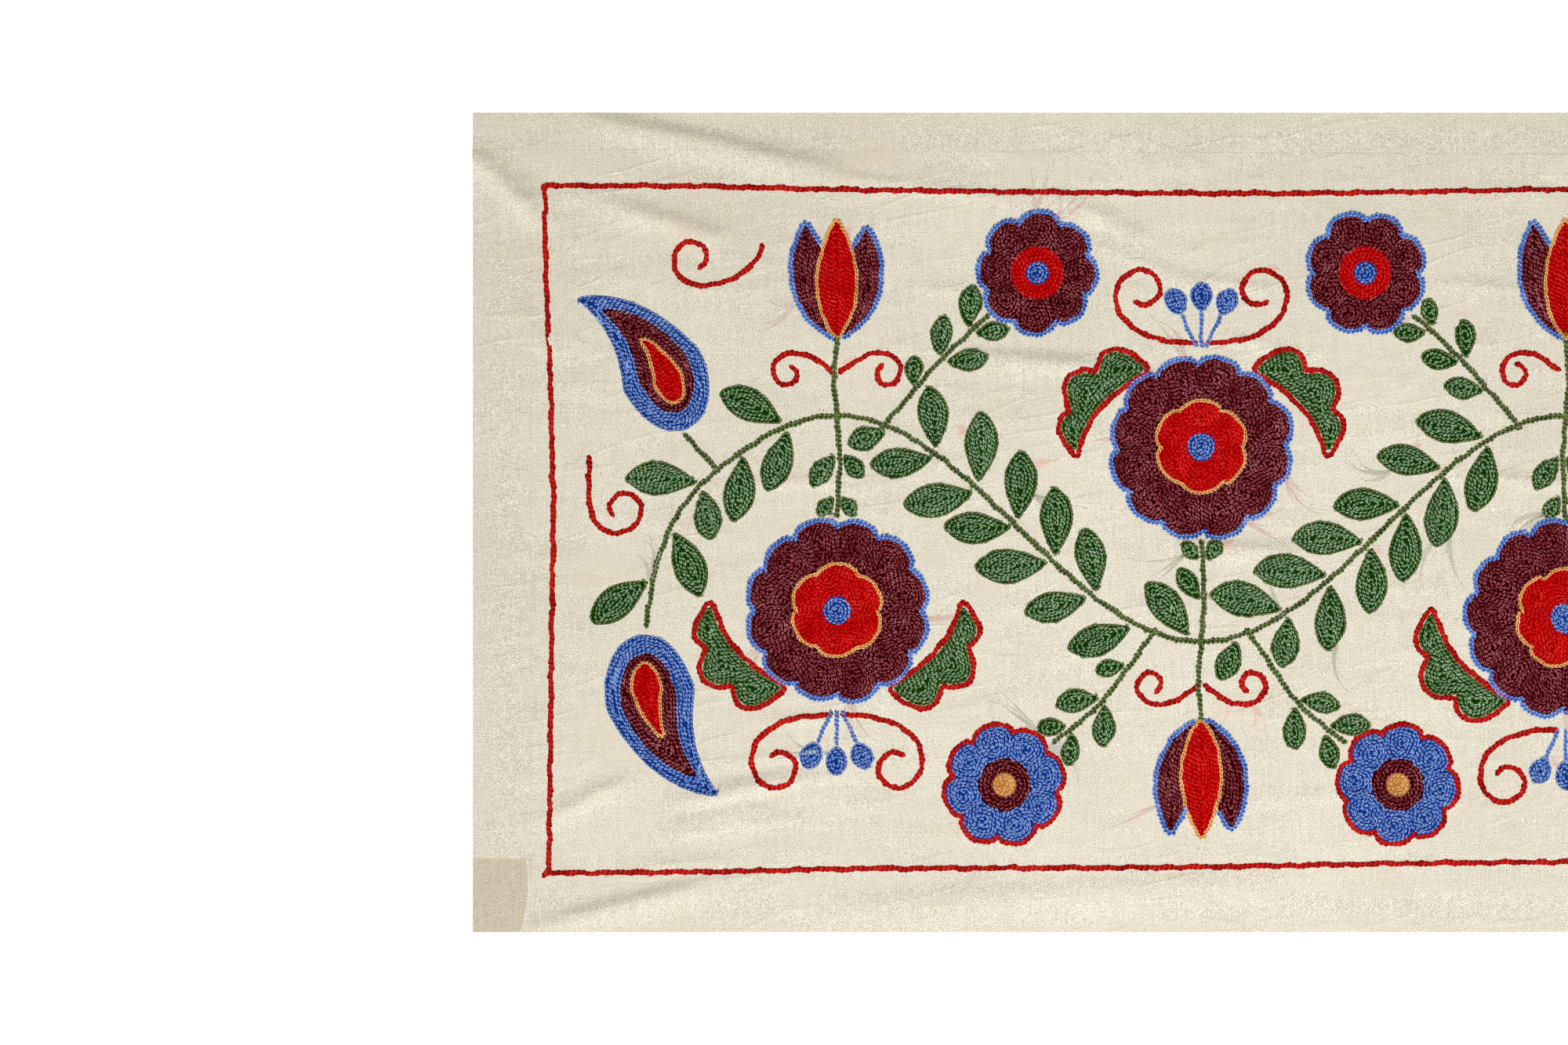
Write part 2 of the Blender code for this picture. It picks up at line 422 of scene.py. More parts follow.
def clothMaterial(name, dark, middle, pale):
    n = Nodes(name)
    place = n.add("ShaderNodeSeparateXYZ", Vector=n.where)
    x, y = place.outputs["X"], place.outputs["Y"]
    # slow drifts of tone, the mottle of uneven yarn, and its grain
    drift, wash = n.noise(9.0, 3.0), n.noise((26.0, 40.0, 1.0), 2.0)
    mottle, grain = n.noise(170.0, 3.0, 0.6), n.noise(1900.0, 1.0)
    # threads that swell and thin as they run, one way and the other
    warp, weft = n.noise((1300.0, 45.0, 1.0), 2.0), n.noise((45.0, 1300.0, 1.0), 2.0)
    # over and under of the plain weave
    turns = math.pi / weave["pitch"]
    wander = n.math("MULTIPLY", mottle, 1.8)
    ribX = n.math("SINE", n.math("MULTIPLY_ADD", x, turns, wander))
    ribY = n.math("SINE", n.math("MULTIPLY_ADD", y, turns, wander))
    over = n.math("MULTIPLY", ribX, ribY)
    tone = n.total(0.5, (over, 0.0, 0.42), (warp, 0.5, 0.46), (weft, 0.5, 0.24), (grain, 0.5, 3.2),
                   (mottle, 0.5, 0.24), (drift, 0.5, 0.36), (wash, 0.5, 0.15))
    # a few dark threads, and painted shade along lines where the cloth was once pressed
    lone = n.remap(n.noise((1250.0, 14.0, 1.0), 1.0), 0.70, 0.78)
    lone = n.math("MAXIMUM", lone, n.remap(n.noise((14.0, 1250.0, 1.0), 1.0), 0.70, 0.78))
    offHem = n.math("SUBTRACT", y, n.math("MULTIPLY_ADD", x, weave["topCreaseLine"][1], weave["topCreaseLine"][0]))
    topCreaseShade = n.remap(n.math("ABSOLUTE", offHem), 0.00015, 0.0006, 1.0, 0.0)
    side = n.remap(n.math("ABSOLUTE", n.math("SUBTRACT", x, weave["sideCreaseLine"])), 0.0002, 0.0007, 0.45, 0.0)
    lines = n.math("MULTIPLY", n.math("MAXIMUM", topCreaseShade, side), n.remap(n.noise(60.0), 0.38, 0.60))
    darkThreadsAndCreaseShade = n.math("MAXIMUM", n.math("MULTIPLY", lone, 0.6), lines)
    tone = n.math("MULTIPLY_ADD", darkThreadsAndCreaseShade, -0.33, tone)
    colour = n.ramp(tone, (0.0, dark), (0.5, middle), (1.0, pale))
    # faint warm and cool patches
    warmth = n.noise((22.0, 22.0, 1.0), 2.0)
    warm = tuple(c * f for c, f in zip(middle, (1.03, 0.965, 0.94)))
    colour = n.mix(n.remap(warmth, 0.52, 0.75, 0.0, 0.45), colour, (*warm, 1.0))
    # small dark flecks of husk
    spots = n.add("ShaderNodeTexVoronoi", Vector=n.where, Scale=110.0, Randomness=1.0)
    lot = n.add("ShaderNodeTexWhiteNoise", Vector=spots.outputs["Position"]).outputs["Value"]
    fleck = n.remap(spots.outputs["Distance"], 0.02, 0.055, 0.85, 0.0)
    fleck = n.math("MULTIPLY", fleck, n.remap(lot, 0.80, 1.0))
    colour = n.mix(fleck, colour, (*weave["fleck"], 1.0))
    # loose thread ends behind the cloth show through where its mesh has a stain
    stain = n.attribute("stain").outputs["Fac"]
    colour = n.mix(stain, colour, n.attribute("tint").outputs["Color"])
    # fine creases: soft ridges where a stretched noise crosses its middle
    bend = n.noise((12.0, 58.0, 1.0), 1.5, turn=-0.22)
    ridge = n.remap(n.math("ABSOLUTE", n.math("SUBTRACT", bend, 0.5)), 0.0, 0.05, 1.0, 0.0)
    ridge = n.math("MULTIPLY", n.math("SMOOTH_MIN", ridge, 0.85, 0.3), n.remap(n.noise(24.0), 0.42, 0.62))
    soft = n.add("ShaderNodeBump", Strength=1.0, Distance=weave["creaseBump"], Height=ridge)
    height = n.total(0.0, (n.math("ABSOLUTE", ribX), 0.5, 0.5), (n.math("ABSOLUTE", ribY), 0.5, 0.5),
                     (over, 0.0, 0.35), (warp, 0.5, 1.1), (weft, 0.5, 0.8))
    bump = n.add("ShaderNodeBump", Strength=0.7, Distance=weave["weaveBump"], Height=height,
                 Normal=soft.outputs["Normal"])
    n.set(Base_Color=colour, Roughness=0.95, Specular_IOR_Level=0.1, Sheen_Weight=0.06, Sheen_Roughness=0.5,
          Normal=bump.outputs["Normal"])
    return n.material


# Each thread's colours: its darkest, painted as the shade in its gaps; on the whole; its brightest,
# painted as highlights where it catches the light; and how unevenly it is dyed
threads = {
    "red": (linear(172, 0, 2), linear(236, 16, 16), linear(255, 84, 76), 1.0),
    "cord": (linear(70, 0, 0), linear(158, 7, 5), linear(230, 52, 42), 0.6),
    "maroon": (linear(60, 0, 8), linear(150, 46, 56), linear(238, 168, 174), 0.7),
    "blue": (linear(16, 54, 140), linear(134, 174, 246), linear(236, 246, 255), 0.3),
    "green": (linear(18, 58, 6), linear(140, 178, 122), linear(244, 255, 234), 0.3),
    "olive": (linear(22, 36, 0), linear(118, 136, 74), linear(214, 222, 172), 0.3),
    "gold": (linear(194, 126, 60), linear(255, 202, 128), linear(255, 240, 192), 0.4),
}


def threadMaterial(name, dark, middle, paintedHighlight, drift):
    n = Nodes(name)
    shade = n.attribute("shade").outputs["Fac"]
    tone = n.attribute("tone").outputs["Fac"]
    grain, fuzz = n.noise(1500.0, 1.0), n.noise(2700.0, 1.0)
    # painted light and shade: the ramp runs from the gaps' painted shade to painted highlights, by each
    # link's random tone and the thread's grain, times the shade painted along the link
    light = n.total(0.48, (tone, 0.0, 0.24), (grain, 0.5, 1.4), (fuzz, 0.5, 2.0))
    light = n.total(n.math("MULTIPLY", light, shade), (n.noise(80.0), 0.5, drift))
    n.set(Base_Color=n.ramp(light, (0.0, dark), (0.42, middle), (1.0, paintedHighlight)),
          Roughness=0.6, Specular_IOR_Level=0.02)
    return n.material


# Lines and shapes of the pattern, in millimetres

def turned(points, angle):
    cosine, sine = math.cos(angle), math.sin(angle)
    return points @ np.array([[cosine, sine], [-sine, cosine]])


def placed(points, spot, angle=0.0, size=1.0):
    return turned(np.asarray(points, float) * size, angle) + np.asarray(spot, float)


def heading(angle):
    return np.array((math.cos(angle), math.sin(angle)))


# a smooth line through a few points
def smoothLine(points, steps=10):
    points = np.asarray(points, float)
    ends = np.vstack([2 * points[0] - points[1], points, 2 * points[-1] - points[-2]])
    t = np.linspace(0, 1, steps, endpoint=False)[:, None]
    runs = []
    for a, b, c, d in zip(ends[:-3], ends[1:-2], ends[2:-1], ends[3:]):
        curve = 2 * b + (c - a) * t + (2 * a - 5 * b + 4 * c - d) * t ** 2 + (3 * b - 3 * c + d - a) * t ** 3
        runs.append(0.5 * curve)
    return np.vstack(runs + [points[-1:]])


# the length passed at each point of a line
def runOf(line):
    return np.concatenate([[0.0], np.cumsum(np.linalg.norm(np.diff(line, axis=0), axis=1))])


def pointAt(line, distance):
    run = runOf(line)
    return np.array([np.interp(distance, run, line[:, 0]), np.interp(distance, run, line[:, 1])])


# the same line with its points an even gap apart
def evenly(line, gap, closed):
    if closed:
        line = np.vstack([line, line[:1]])
    run = runOf(line)
    count = max(3, int(round(run[-1] / gap)))
    at = np.linspace(0, run[-1], count, endpoint=not closed)
    return np.column_stack([np.interp(at, run, line[:, 0]), np.interp(at, run, line[:, 1])])


# unit vectors to the left of a line
def acrossOf(line):
    along = np.gradient(line, axis=0)
    along /= np.linalg.norm(along, axis=1)[:, None] + 1e-9
    return np.column_stack([-along[:, 1], along[:, 0]])


# a closed outline at given distances left and right of a line
def bandShape(centreLine, left, right):
    across = acrossOf(centreLine)
    left, right = np.maximum(left, 0.05), np.maximum(right, 0.05)
    return np.vstack([centreLine - across * right[:, None], (centreLine + across * left[:, None])[::-1]])


# a line along +X from nought whose heading turns by an angle in all
def arcLine(length, turn, steps=24, ease=1.0):
    share = (np.arange(steps) + 0.5) / steps
    angle = turn * share ** ease
    step = np.column_stack([np.cos(angle), np.sin(angle)]) * length / steps
    return np.vstack([[0.0, 0.0], np.cumsum(step, axis=0)])


def leafShape(length, width, bend=0.0, fullness=1.25, bluntness=0.72):
    line = arcLine(length, bend)
    share = np.linspace(0, 1, len(line))
    half = 0.5 * width * np.sin(np.pi * share ** fullness) ** bluntness
    return bandShape(line, half, half)


# a round head that tapers to a turned tip
def dropShape(length, width, turn, headShare=0.36):
    line = arcLine(length, turn, 40, ease=1.7)
    share = np.linspace(0, 1, len(line))
    head = np.sqrt(np.clip(1 - (1 - share / headShare) ** 2, 0, 1))
    tail = np.clip(1 - (share - headShare) / (1 - headShare), 0, 1) ** 0.85
    half = 0.5 * width * np.where(share < headShare, head, tail)
    return bandShape(line, half, half)


def circleShape(radius, steps=40):
    angle = np.linspace(0, 2 * np.pi, steps, endpoint=False)
    return np.column_stack([np.cos(angle), np.sin(angle)]) * radius


# a petal of a round flower about +X: straight sides and an arched end
def petalShape(inner, outer, halfAngle, dip):
    share = np.linspace(-1, 1, 14)
    arch = np.sqrt(np.clip(1 - share ** 2, 0, 1))
    radius = outer - dip * (1 - arch)
    rim = np.column_stack([np.cos(share * halfAngle), np.sin(share * halfAngle)]) * radius[:, None]
    back = np.linspace(halfAngle, -halfAngle, 5)
    return np.vstack([rim, np.column_stack([np.cos(back), np.sin(back)]) * inner])


# what is to be stitched: filled shapes, rows round shapes, and single lines
class Pattern:
    def __init__(self, seed):
        self.random = np.random.default_rng(seed)
        self.fills = []
        self.edges = []
        self.lines = []
        self.taken = []
        self.side = 1

    def vary(self, amount):
        return 1 + self.random.uniform(-amount, amount)

    # to this side of the cloth's middle
    def put(self, points):
        points = np.array(points, float)
        points[:, 0] *= self.side
        return points[::-1] if self.side < 0 else points

    # rows that fill the outlines, but for the holes and a spare strip round them
    def fill(self, colour, outlines, holes=(), spare=0.0, layer=0):
        outlines = [self.put(outline) for outline in outlines]
        holes = [self.put(hole) for hole in holes]
        self.fills.append((colour, outlines, holes, spare, layer))
        self.taken += [evenly(outline, 1.5, True) for outline in outlines]

    # one row round the outlines, left out where it would cross a shape to keep clear
    def edge(self, colour, outlines, offset, clear=()):
        outlines = [self.put(outline) for outline in outlines]
        self.edges.append((colour, outlines, offset, [self.put(shape) for shape in clear]))

    def line(self, colour, points, kind):
        points = self.put(points)
        self.lines.append((colour, points, kind))
        self.taken.append(evenly(points, 1.5, False))

    # True where a shape lies inside the border and clear of all others, but for its foot
    def isFree(self, outline, margin, foot, near):
        points = evenly(self.put(outline), 1.5, True)
        points = points[np.linalg.norm(points - self.put([foot])[0], axis=1) > near]
        limit, lowest, highest = border["field"]
        if abs(points[:, 0]).max() > limit or points[:, 1].max() > highest or points[:, 1].min() < lowest:
            return False
        low, high = points.min(axis=0) - margin, points.max(axis=0) + margin
        for other in self.taken:
            if (other.max(axis=0) < low).any() or (other.min(axis=0) > high).any():
                continue
            if np.linalg.norm(points[:, None] - other[None], axis=2).min() < margin:
                return False
        return True


border = {
    "field": (551.0, -184.0, 177.0),    # the motifs' room: half length, lowest and highest
    "left": ((-560.6, 184.9), (-559.5, 130.0), (-557.3, 80.2), (-556.2, 30.0), (-555.6, 11.4),
             (-556.6, -60.0), (-557.3, -120.0), (-558.2, -186.7), (-559.8, -192.6)),
    "top": ((-560.6, 184.9), (-480.0, 184.6), (-403.2, 182.8), (-300.0, 181.5), (-170.7, 180.6),
            (-80.0, 181.6), (0.0, 183.0)),
    "bottom": ((-559.8, -192.6), (-460.0, -191.6), (-386.0, -190.1), (-213.8, -189.3),
               (-100.0, -187.4), (0.0, -186.3)),
}
vineForm = {"middle": -3.5, "rise": 62.0, "wave": 400.0}
flowerRadius = {"middle": 53, "side": 49}
# where along a stem leaves start and stop, their gap, length, width, lean and room
stemLeaves = (0.15, 0.95, 21, 24, 13, 0.8, 1.8)
vineLeaves = (0.045, 0.98, 29, 39, 18.5, 0.95, 2.2)


def vineHeight(u):
    return vineForm["middle"] + vineForm["rise"] * np.cos(2 * np.pi * u / vineForm["wave"])


# pairs of leaves down a stem, each left out or made smaller where there is no room
def leavesAlong(pattern, line, start, stop, gap, length, width, lean, margin):
    run = runOf(line)[-1]
    count = max(1, int(round((stop - start) * run / gap)))
    for i in range(count):
        for sign in (1, -1):
            at = (start + (stop - start) * (i + 0.5) / count) * run + pattern.random.uniform(-1.5, 1.5)
            ahead = pointAt(line, at + 1) - pointAt(line, at - 1)
            angle = math.atan2(ahead[1], ahead[0]) + sign * lean * pattern.vary(0.10)
            size = pattern.vary(0.07)
            foot = pointAt(line, at) + 2.4 * heading(angle)
            for shrink in (1.0, 0.86, 0.72, 0.6):
                shape = leafShape(length * size * shrink, width * size * (0.35 + 0.65 * shrink), -sign * 0.25)
                shape = placed(shape, foot, angle)
                if pattern.isFree(shape, margin, foot, 5.0):
                    pattern.fill("green", [shape])
                    break


def petalRing(pattern, spot, count, inner, outer, dip, first):
    half = math.pi / count
    shapes = []
    for i in range(count):
        shape = petalShape(inner, outer * pattern.vary(0.02), half, outer * dip)
        shapes.append(placed(shape, spot, 2 * half * i + first))
    return shapes


# dark petals edged in blue round a red flower edged in gold, with a blue eye
def roundFlower(pattern, spot, radius, petals):
    first = pattern.random.uniform(0, 0.5)
    heartRadius, eyeRadius = radius * 0.50, radius * 0.155
    heart = petalRing(pattern, spot, petals // 2, eyeRadius + 0.2, heartRadius, 0.16, first + 0.3)
    crown = petalRing(pattern, spot, petals, heartRadius * 0.72, radius, 0.13, first)
    pattern.fill("maroon", crown, heart, 1.9)
    pattern.edge("blue", crown, 1.3)
    pattern.fill("red", heart, layer=1)
    pattern.edge("gold", heart, 0.95)
    pattern.fill("blue", [placed(circleShape(eyeRadius), spot)], layer=1)


def smallFlower(pattern, spot, radius, petals, colours):
    petalColour, edgeColour, ringColour, eyeColour = colours
    heartRadius = radius * 0.44
    outlines = petalRing(pattern, spot, petals, heartRadius, radius, 0.21, pattern.random.uniform(0, 1))
    eye = placed(circleShape(heartRadius * 0.42), spot)
    ring = placed(circleShape(heartRadius), spot)
    pattern.fill(petalColour, outlines, [ring], 0.0)
    pattern.edge(edgeColour, outlines, 1.3)
    pattern.fill(ringColour, [ring], [eye], layer=1)
    pattern.fill(eyeColour, [eye], layer=2)


# two dark outer petals with a red one between them
def tulip(pattern, foot, angle, size):
    middle = placed(leafShape(56, 18, 0.0, 0.9, 0.8), foot, angle, size)
    sides = []
    for lean in (-1, 1):
        side = leafShape(56 * pattern.vary(0.03), 19, -lean * 0.55, 0.9, 0.8)
        sides.append(placed(side, foot, angle + lean * 0.55, size))
    pattern.fill("maroon", sides, [middle], 1.9)
    pattern.edge("blue", sides, 1.3, [middle])
    pattern.fill("red", [middle], layer=1)
    pattern.edge("gold", [middle], 0.95)


# a turned drop: a blue band, a dark field and a red heart
def drop(pattern, foot, angle, size, turn):
    outer = placed(dropShape(104, 50, turn), foot, angle, size * pattern.vary(0.02))
    inner = placed(dropShape(76, 30, turn * 0.9), foot + 11 * heading(angle), angle, size)
    core = placed(dropShape(40, 14, turn * 0.5), foot + 17 * heading(angle), angle, size)
    pattern.fill("blue", [outer], [inner])
    pattern.fill("maroon", [inner], [core], 1.9, layer=1)
    pattern.edge("gold", [core], 0.95)
    pattern.fill("red", [core], layer=2)


def bud(pattern, foot, angle, length, width, stalk):
    tip = foot + stalk * heading(angle)
    pattern.line("blue", np.array([foot, (foot + tip) / 2, tip]), "thin")
    pattern.fill("blue", [placed(leafShape(length, width, 0.1, 1.1, 0.55), tip, angle)])


# a single line that swings one way and then winds into a curl
def tendril(pattern, foot, angle, length, bend, turn):
    share = (np.arange(90) + 0.5) / 90
    way = angle + bend * np.sin(np.pi * np.clip(share / 0.45, 0, 1)) + turn * share ** 2.1
    step = np.column_stack([np.cos(way), np.sin(way)]) * length / 90
    pattern.line("red", np.vstack([[0.0, 0.0], np.cumsum(step, axis=0)]) + foot, "curl")


# a lobed leaf, edged in red, that lies along a flower's rim from one angle to another.
# The angles are measured from the way that points off the vine
def lobedLeaf(pattern, spot, radius, side, up, start, stop):
    share = np.linspace(0, 1, 60)
    angle = start + (stop - start) * share
    track = radius + 3.5 + 17 * (1 - (1 - share) ** 2)
    line = spot + np.column_stack([side * np.sin(angle), -up * np.cos(angle)]) * track[:, None]
    body = 15 * np.sin(np.pi * share ** 0.8) ** 0.75
    lobes = body * (0.45 + 0.65 * np.abs(np.sin(np.pi * 3 * share ** 1.1)))
    left, right = (lobes, body * 0.42) if side * up < 0 else (body * 0.42, lobes)
    shape = bandShape(line, left, right)
    pattern.fill("green", [shape])
    pattern.edge("red", [shape], 1.3)


# a tulip outside a bend of the vine and a round flower inside it: up is 1 on a crest
def flowerPair(pattern, u, up, radius):
    vine = vineHeight(u)
    away = -up * math.pi / 2
    foot = np.array((u, vine + up * 44.0))
    pattern.line("green", smoothLine([(u, vine), (u + 1.5, vine + up * 20), foot], 6), "stem")
    tulip(pattern, foot, -away, 1.12)
    for side in (-1, 1):
        start = np.array((u + side * 3.5, vine + up * 25))
        tendril(pattern, start, -away - side * up * 0.9, 66, 0.0, -side * up * 2.1 * math.pi)
    spot = np.array((u, vine - up * (58.0 + radius)))
    roundFlower(pattern, spot, radius, 14 if radius > 52 else 12)
    rim = spot + np.array((0, up * (radius + 2)))
    stem = smoothLine([(u, vine), (u - 1.5, vine - up * 26), rim], 6)
    pattern.line("green", stem, "stem")
    base = spot - np.array((0, up * (radius + 7)))
    for side in (-1, 1):
        lobedLeaf(pattern, spot, radius, side, up, 0.62, 1.62)
        start = base + np.array((side * 5.0, -up * 1.0))
        tendril(pattern, start, away + side * up * 1.50, 112, 0.0, -up * side * 2.2 * math.pi)
    for lean in (-0.42, 0.0, 0.42):
        spread = np.array((up * 9.0 * lean, -up * 1.0))
        bud(pattern, base + spread, away + lean, 17 - 3 * abs(lean), 12.5, 17)
    return stem


# u runs outward from the cloth's middle
def halfPattern(pattern):
    u = np.linspace(0, 452, 160)
    vine = np.column_stack([u, vineHeight(u)])
    outerEnd = smoothLine([(452, vineHeight(452.0)), (470, 25), (487, 5), (499, -23), (505, -58)], 10)
    vine = np.vstack([vine[:-1], outerEnd])
    pattern.line("green", vine, "stem")
    radius = flowerRadius["side"]
    stems = [flowerPair(pattern, 200.0, -1, radius), flowerPair(pattern, 400.0, 1, radius)]
    dark = ("maroon", "blue", "red", "blue")
    light = ("blue", "red", "maroon", "gold")
    shoots = (
        ((26, vineHeight(26.0)), (58, 90), (86, 116), (110, 137), dark),
        ((374, vineHeight(374.0)), (342, 90), (314, 116), (290, 137), dark),
        ((174, vineHeight(174.0)), (146, -100), (118, -123), (92, -144), light),
        ((226, vineHeight(226.0)), (256, -100), (284, -123), (308, -144), light),
    )
    for *points, colours in shoots:
        spot = np.array(points[-1], float)
        smallFlower(pattern, spot, 32, 8, colours)
        stem = smoothLine(points, 12)
        stem = stem[np.linalg.norm(stem - spot, axis=1) > 34]
        pattern.line("green", stem, "stem")
        stems.append(stem)
    drop(pattern, np.array((484.0, 50.0)), math.radians(74), 0.96, -1.1)
    pattern.line("green", smoothLine([(467, 30), (476, 40), (484, 49)], 6), "stem")
    drop(pattern, np.array((506.0, -61.0)), math.radians(-92), 1.0, -1.1)
    tendril(pattern, np.array((441.0, 150.0)), math.radians(-62), 100, 0.3, 2.2 * math.pi)
    tendril(pattern, np.array((536.0, 34.0)), math.radians(-95), 100, 0.3, -2.2 * math.pi)
    leavesAlong(pattern, vine, *vineLeaves)
    for stem in stems:
        leavesAlong(pattern, stem, *stemLeaves)


def drawPattern():
    pattern = Pattern(7)
    stem = flowerPair(pattern, 0.0, 1, flowerRadius["middle"])
    for side in (-1, 1):
        pattern.side = side
        halfPattern(pattern)
    pattern.side = 1
    leavesAlong(pattern, stem, *stemLeaves)
    print("pattern:", len(pattern.fills), "groups of filled shapes")
    return pattern


# Rows of stitches that follow a shape's outline inwards. All sizes are in millimetres.
# Each kind of row: the link it is sewn with, stitch length, width, height, and how far it strays
rowKinds = {
    "fill": ("thin", 2.45, 2.08, 0.76, 0.20),
    "edge": ("open", 2.3, 3.2, 0.68, 0.22),
    "fine": ("open", 2.2, 2.2, 0.68, 0.22),
    "stem": ("open", 2.5, 3.3, 0.68, 0.28),
    "thin": ("open", 2.3, 2.5, 0.68, 0.22),
    "curl": ("full", 2.5, 3.1, 0.36, 0.30),
    "border": ("full", 2.7, 3.0, 0.36, 0.30),
    "back": ("dash", 3.7, 1.5, 0.40, 0.15),
}
# Each link: its corners round, then stations along one arm. A station says how far along and
# aside it is, its height, half its thickness, and how light its crest is: painted shade, darker at the ends
links = {
    "thin": (3, (-0.14, 0.0, 0.60, 0, 0.55), (0.50, 0.21, 0.45, 0.22, 1.0), (1.20, 0.04, 0.22, 0, 0.35)),
    "open": (4, (-0.14, 0.03, 0.66, 0, 0.2), (0.20, 0.23, 0.54, 0.18, 0.82), (0.84, 0.29, 0.44, 0.19, 0.12),
             (1.18, 0.10, 0.24, 0, 0.0)),
    "full": (4, (-0.42, 0.0, 0.62, 0, 0.5), (0.05, 0.17, 0.56, 0.30, 1.2), (0.85, 0.20, 0.46, 0.31, 0.45),
             (1.28, 0.06, 0.22, 0, 0.35)),
    "dash": (3, (0.06, 0.0, 0.0, 0, 0.3), (0.45, 0.0, 0.0, 0.22, 0.8), (0.84, 0.0, 0.0, 0, 0.3)),
}
stitchForm = {
    "rowGap": 1.72,
    "gridCell": 0.5,
    "padThickness": 0.24,
    "padPoints": (6.0, 3.5),
    "unevenness": 0.18,
    "slant": 0.11,                      # how far a link's left arm lies ahead of its right arm
    "armHeight": 1.9,                   # an arm's height over its thickness
    "sway": 0.10,                       # how far a stitch turns off its row, and in the fillings
    "fillSway": 0.26,
    "pointGap": 1.1,                    # between a row's points
    "clearance": 2.2,                   # from a shape that a row keeps clear of
    "padSpare": 0.9,                    # how far a pad reaches into the strip round a hole
    "padPast": 0.7,                     # how far it reaches past its outline
    "padInset": 1.0,                    # and how far it is drawn in where a shape stands alone
    "padShortest": 8.0,                 # the shortest outline that gets a pad
    "backSink": 0.12,                   # how far the backs lie below the cloth's underside
    "seed": 11,
}


def signedArea(line):
    x, y = line[:, 0], line[:, 1]
    return 0.5 * float(np.dot(x, np.roll(y, -1)) - np.dot(y, np.roll(x, -1)))


def isInside(points, outline):
    start, end = outline, np.roll(outline, -1, axis=0)
    x, y = points[:, 0][:, None], points[:, 1][:, None]
    crosses = (start[:, 1] > y) != (end[:, 1] > y)
    rise = end[:, 1] - start[:, 1]
    slope = (end[:, 0] - start[:, 0]) / np.where(rise == 0, 1e-12, rise)
    atX = start[:, 0] + (y - start[:, 1]) * slope
    return (crosses & (x < atX)).sum(axis=1) % 2 == 1


# distance from each point to a closed outline, positive inside
def depthOf(points, outline):
    start = outline
    run = np.roll(outline, -1, axis=0) - start
    away = points[:, None, :] - start[None]
    share = np.clip((away * run[None]).sum(axis=2) / ((run * run).sum(axis=1) + 1e-12), 0, 1)
    gap = np.sqrt(((away - share[:, :, None] * run[None]) ** 2).sum(axis=2)).min(axis=1)
    return np.where(isInside(points, outline), gap, -gap)


# the points of a grid, and its numbers of rows and columns
def gridPoints(low, high, stepX, stepY):
    x, y = np.meshgrid(np.arange(low[0], high[0], stepX), np.arange(low[1], high[1], stepY))
    return np.column_stack([x.ravel(), y.ravel()]), x.shape


# a grid of depths inside any of the outlines and outside every hole
def depthField(outlines, holes=(), spare=0.0, inset=0.0):
    cell, margin = stitchForm["gridCell"], 3.0
    low = np.min([outline.min(axis=0) for outline in outlines], axis=0) - margin
    high = np.max([outline.max(axis=0) for outline in outlines], axis=0) + margin
    points, size = gridPoints(low, high + cell, cell, cell)
    depth = np.full(len(points), -50.0)

    def around(shape, reach):
        return ((points > shape.min(axis=0) - reach) & (points < shape.max(axis=0) + reach)).all(axis=1)

    for outline in outlines:
        near = around(outline, margin)
        depth[near] = np.maximum(depth[near], depthOf(points[near], outline) - inset)
    for hole in holes:
        near = around(hole, 12.0) & (depth > -margin)
        if near.any():
            depth[near] = np.minimum(depth[near], -depthOf(points[near], hole) - spare)
    return depth.reshape(size), low


# for each of a cell's sixteen corner states, the sides that a line enters and leaves by
cellTurns = {
    1: ((0, 3),), 2: ((1, 0),), 3: ((1, 3),), 4: ((2, 1),), 5: ((0, 3), (2, 1)),
    6: ((2, 0),), 7: ((2, 3),), 8: ((3, 2),), 9: ((0, 2),), 10: ((1, 0), (3, 2)),
    11: ((1, 2),), 12: ((3, 1),), 13: ((0, 1),), 14: ((3, 0),),
}


# closed lines along which the depth has a given value
def contourLines(depth, low, level):
    rows, columns = depth.shape
    inside = depth > level
    state = inside[:-1, :-1] * 1 + inside[:-1, 1:] * 2 + inside[1:, 1:] * 4 + inside[1:, :-1] * 8
    cellY, cellX = np.nonzero((state > 0) & (state < 15))
    state = state[cellY, cellX]
    corner = 2 * (cellY * columns + cellX)
    sides = np.array([corner, corner + 3, corner + 2 * columns, corner + 1])
    follow = {}
    for code, turns in cellTurns.items():
        here = np.nonzero(state == code)[0]
        for enter, leave in turns:
            follow.update(zip(sides[enter, here].tolist(), sides[leave, here].tolist()))
    lines = []
    while follow:
        first, here = follow.popitem()
        ids = [first]
        while here != first and here in follow:
            ids.append(here)
            here = follow.pop(here)
        ids = np.array(ids)
        y, x = np.divmod(ids // 2, columns)
        upright = ids % 2 == 1
        a = depth[y, x]
        b = depth[np.minimum(y + upright, rows - 1), np.minimum(x + ~upright, columns - 1)]
        share = (level - a) / np.where(b == a, 1.0, b - a)
        px = x + np.where(upright, 0.0, share)
        py = y + np.where(upright, share, 0.0)
        lines.append(np.column_stack([px, py]) * stitchForm["gridCell"] + low)
    return lines


# the parts of a closed line that are kept, each as an open line
def openRuns(line, keep):
    first = int(np.argmin(keep))
    line, keep = np.roll(line, -first, axis=0), np.roll(keep, -first)
    starts = np.nonzero(keep & ~np.roll(keep, 1))[0]
    ends = np.append(np.nonzero(~keep & np.roll(keep, 1))[0], len(line))
    return [line[start:ends[ends > start][0]] for start in starts]


